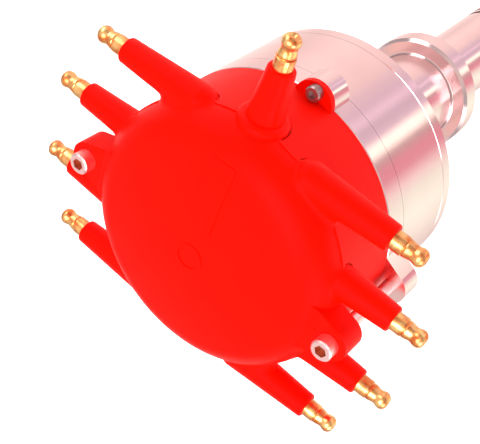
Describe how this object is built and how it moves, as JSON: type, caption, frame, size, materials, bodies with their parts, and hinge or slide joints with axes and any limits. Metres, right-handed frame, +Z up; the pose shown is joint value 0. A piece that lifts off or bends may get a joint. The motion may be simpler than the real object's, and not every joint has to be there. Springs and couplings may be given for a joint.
{
  "type": "ignition distributor",
  "caption": "Low-profile engine ignition distributor: horizontal-tower cap, turned body with hold-down collar, shaft with helical gear, rotor and centrifugal advance.",
  "frame": {"origin": "on the shaft's axis, in the plane of the collar's seat on the engine", "axes": "+Z up the shaft towards the cap; +X and -X along the two rows of plug towers; -Y along the coil tower"},
  "size_m": [0.1576, 0.1384, 0.3628],
  "materials": {
    "bare_aluminium": "turned and polished",
    "red_moulding": "satin-gloss moulded",
    "brass": "bright turned",
    "bronze": "sintered",
    "screw_steel": "bright",
    "bearing_steel": "ground",
    "dark_steel": "oiled black",
    "plated_steel": "zinc plated",
    "spring_steel": "drawn wire",
    "black_rubber": "moulded",
    "black_plastic": "moulded",
    "carbon": "pressed carbon",
    "magnet": "nickel plated"
  },
  "bodies": {
    "housing": {"housing": "bare_aluminium", "upper_o_ring": "black_rubber", "lower_o_ring": "black_rubber", "wire_grommet": "black_rubber", "lower_bushing": "bronze", "bearing_outer_race": "bearing_steel", "bearing_ring": "dark_steel", "cap_base": "red_moulding", "base_screws": "screw_steel", "cap_crown": "red_moulding", "cap_screws": "screw_steel", "coil_terminal": "brass", "plug_terminal_1": "brass", "plug_terminal_2": "brass", "plug_terminal_3": "brass", "plug_terminal_4": "brass", "plug_terminal_5": "brass", "plug_terminal_6": "brass", "plug_terminal_7": "brass", "plug_terminal_8": "brass", "contact_spring": "spring_steel", "pickup_plate": "plated_steel", "pickup_pole": "dark_steel", "pickup_coil": "black_plastic", "pickup_magnet": "magnet", "pickup_screws": "screw_steel"},
    "button": {"carbon_button": "carbon"},
    "shaft": {"main_shaft": "bearing_steel", "bearing_inner_race": "bearing_steel", "advance_cam": "dark_steel", "stop_bushings": "brass", "stop_nuts": "screw_steel", "shaft_clip": "dark_steel", "drive_gear": "dark_steel", "gear_pin": "bearing_steel", "thrust_washers": "bearing_steel"},
    "balls": {"bearing_balls": "bearing_steel", "bearing_cage": "bearing_steel"},
    "advance": {"advance_plate": "plated_steel", "weight_pins": "bearing_steel", "weight_clips": "dark_steel", "advance_spring_a": "spring_steel", "advance_spring_b": "spring_steel", "reluctor": "plated_steel", "rotor": "red_moulding", "rotor_blade": "brass", "rotor_screws": "screw_steel"},
    "weight_a": {"advance_weight_a": "plated_steel"},
    "weight_b": {"advance_weight_b": "plated_steel"}
  },
  "joints": [
    {"name": "shaft_spin", "type": "hinge", "parent": "housing", "child": "shaft", "pos_m": [0, 0, 0], "axis": [0, 0, -1], "continuous": true},
    {"name": "balls_spin", "type": "hinge", "parent": "housing", "child": "balls", "pos_m": [0, 0, 0], "axis": [0, 0, -1], "continuous": true},
    {"name": "advance_turn", "type": "hinge", "parent": "shaft", "child": "advance", "pos_m": [0, 0, 0], "axis": [0, 0, -1], "range_deg": [0, 10.5], "stiffness_Nm_per_rad": 1},
    {"name": "weight_a_swing", "type": "hinge", "parent": "advance", "child": "weight_a", "pos_m": [0, 0.022, 0], "axis": [0, 0, -1], "range_deg": [0, 12.6]},
    {"name": "weight_b_swing", "type": "hinge", "parent": "advance", "child": "weight_b", "pos_m": [0, -0.022, 0], "axis": [0, 0, -1], "range_deg": [0, 12.6]},
    {"name": "button_slide", "type": "slide", "parent": "housing", "child": "button", "axis": [0, 0, 1], "range_m": [0, 0.002], "stiffness_N_per_m": 200, "springref_m": -0.004, "deforming": ["contact_spring"]}
  ],
  "couplings": [
    {"joint": "balls_spin", "follows": "shaft_spin", "ratio": 0.38468},
    {"joint": "weight_a_swing", "follows": "advance_turn", "ratio": 1.2},
    {"joint": "weight_b_swing", "follows": "advance_turn", "ratio": 1.2}
  ]
}
